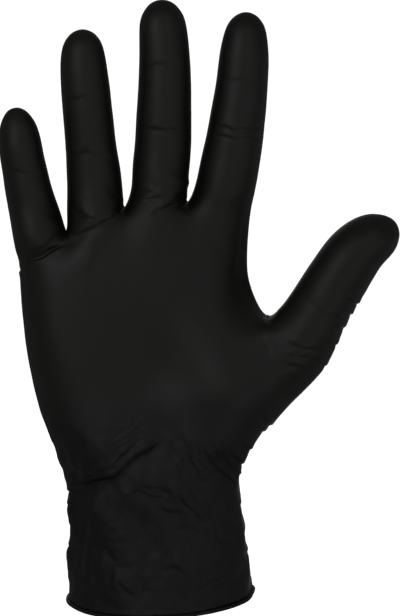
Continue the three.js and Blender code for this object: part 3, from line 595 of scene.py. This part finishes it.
# The section: a ring drawn in by 1 - notch * exp(-(sharpness * (turn - 0.5)) ** 2).
ring = add(roll, "GeometryNodeCurvePrimitiveCircle", [("Radius", given["Radius"])], Resolution=BEAD_SIDES)
turn = add(roll, "GeometryNodeSplineParameter")
turn = add(roll, "ShaderNodeMath", [(0, turn.outputs["Factor"])], operation="SUBTRACT", _1=0.5)
turn = add(roll, "ShaderNodeMath", [(0, turn.outputs[0])], operation="MULTIPLY", _1=NOTCH_SHARPNESS)
turn = add(roll, "ShaderNodeMath", [(0, turn.outputs[0]), (1, turn.outputs[0])], operation="MULTIPLY")
turn = add(roll, "ShaderNodeMath", [(0, turn.outputs[0])], operation="MULTIPLY", _1=-1.0)
turn = add(roll, "ShaderNodeMath", [(0, turn.outputs[0])], operation="EXPONENT")
turn = add(roll, "ShaderNodeMath", [(0, turn.outputs[0]), (1, given["Notch"])], operation="MULTIPLY")
turn = add(roll, "ShaderNodeMath", [(1, turn.outputs[0])], operation="SUBTRACT", _0=1.0)
pull = add(roll, "ShaderNodeVectorMath", [(0, spot.outputs[0]), ("Scale", turn.outputs[0])],
           operation="SCALE")
profile = add(roll, "GeometryNodeSetPosition", [("Geometry", ring.outputs[0]),
                                                ("Position", pull.outputs[0])])

radius = add(roll, "GeometryNodeInputRadius")
sweep = add(roll, "GeometryNodeCurveToMesh", [("Curve", uneven.outputs[0]),
                                              ("Profile Curve", profile.outputs[0]),
                                              ("Scale", radius.outputs[0])])
shade = add(roll, "GeometryNodeSetShadeSmooth", [("Geometry", sweep.outputs[0])])
real = add(roll, "GeometryNodeRealizeInstances", [("Geometry", shade.outputs[0])])
black = add(roll, "GeometryNodeSetMaterial", [("Geometry", real.outputs[0])], Material=rolled)
add(roll, "NodeGroupOutput", [("Geometry", black.outputs[0])])
make = bead.modifiers.new("RolledEdge", "NODES")
make.node_group = roll
for identifier, value in sockets.items():
    make[identifier] = value
bake(bead)
bead.data.name = "cuff_bead_rolled"
turned = bmesh.new()
turned.from_mesh(bead.data)
bmesh.ops.recalc_face_normals(turned, faces=turned.faces)
turned.to_mesh(bead.data)
turned.free()
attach(bead, "root")
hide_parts("cuff_bead")


# Studio: a white floor and white surroundings, as in a cut-out product photo, with one wide soft light low
# in front, smaller soft boxes near the glove on its left and above it, weak ones on the right,
# and two behind it, for its back.
FLOOR_DEPTH = 90
FLOOR_REACH = 30000
FLOOR_WHITE = "#f4f4f4"
LIGHT_WHITE = "#ffffff"

# The floor is only looked at: it neither lights the glove nor shades it, because two lights stand below it.
white = bpy.data.materials.new("white_studio_floor")
white.use_nodes = True
board = white.node_tree.nodes["Principled BSDF"]
board.inputs["Base Color"].default_value = linear(FLOOR_WHITE)
board.inputs["Roughness"].default_value = 0.9
board.inputs["Emission Color"].default_value = linear(LIGHT_WHITE)
board.inputs["Emission Strength"].default_value = 1.0
ground = bpy.data.meshes.new("studio_floor")
corners = [(-1, -1, 0), (1, -1, 0), (1, 1, 0), (-1, 1, 0)]
ground.from_pydata([Vector(corner) * FLOOR_REACH * MM for corner in corners], [], [(0, 1, 2, 3)])
ground.materials.append(white)
floor = bpy.data.objects.new("studio_floor", ground)
floor.location.z = -FLOOR_DEPTH * MM
floor.visible_diffuse = False
floor.visible_glossy = False
floor.visible_shadow = False
bpy.context.scene.collection.objects.link(floor)

# The surroundings are white to the camera and give the glove only a weak light.
WHITE_SEEN = 1.1
WHITE_CAST = 0.105

sky = bpy.data.worlds.new("studio_light")
bpy.context.scene.world = sky
sky.use_nodes = True
tree = sky.node_tree
tree.nodes.clear()
seen = add(tree, "ShaderNodeLightPath").outputs["Is Camera Ray"]
bright = add(tree, "ShaderNodeBackground", Color=linear(LIGHT_WHITE), Strength=WHITE_SEEN)
dim = add(tree, "ShaderNodeBackground", Color=linear(LIGHT_WHITE), Strength=WHITE_CAST)
both = add(tree, "ShaderNodeMixShader", [(0, seen), (1, dim.outputs[0]), (2, bright.outputs[0])])
add(tree, "ShaderNodeOutputWorld", [("Surface", both.outputs[0])])

# Each light: its name, place and width in mm, and power in watts. All of them point at the glove's middle.
LIGHTS = [
    ("front", (206, -873, -195), 600, 0.31),
    ("near_left", (-240, -430, 275), 300, 0.235),
    ("near_top", (150, -420, 330), 300, 0.07),
    ("near_right", (420, -380, 60), 300, 0.065),
    ("far_right", (899, 155, -195), 600, 0.089),
    ("back_high", (-60, 860, 400), 600, 0.38),
    ("back_low", (160, 860, -240), 600, 0.50),
]
MIDDLE = (20, 0, 130)


def point_at(thing, spot):
    """Turn the light or camera so that it looks at the spot, in mm."""
    way = Vector(spot) * MM - thing.location
    thing.rotation_euler = way.to_track_quat("-Z", "Y").to_euler()


for name, spot, width, watts in LIGHTS:
    lamp = bpy.data.lights.new(name, "AREA")
    lamp.size = width * MM
    lamp.energy = watts
    light = bpy.data.objects.new(name, lamp)
    light.location = Vector(spot) * MM
    point_at(light, MIDDLE)
    bpy.context.scene.collection.objects.link(light)

# The camera stands where the photo's did, as far as the glove's outline tells. Place and aim are in mm.
CAMERA_PLACE = (0, -897.1, 214.1)
CAMERA_AIM = (16.0, -2.3, 117.2)
FOCAL_LENGTH = 130.6
SENSOR_HEIGHT = 36

lens = bpy.data.cameras.new("camera")
lens.sensor_fit = "VERTICAL"
lens.sensor_height = SENSOR_HEIGHT
lens.lens = FOCAL_LENGTH
camera = bpy.data.objects.new("camera", lens)
camera.location = Vector(CAMERA_PLACE) * MM
point_at(camera, CAMERA_AIM)
bpy.context.scene.collection.objects.link(camera)
bpy.context.scene.camera = camera
bpy.context.scene.view_settings.view_transform = "Standard"

bpy.context.view_layer.update()
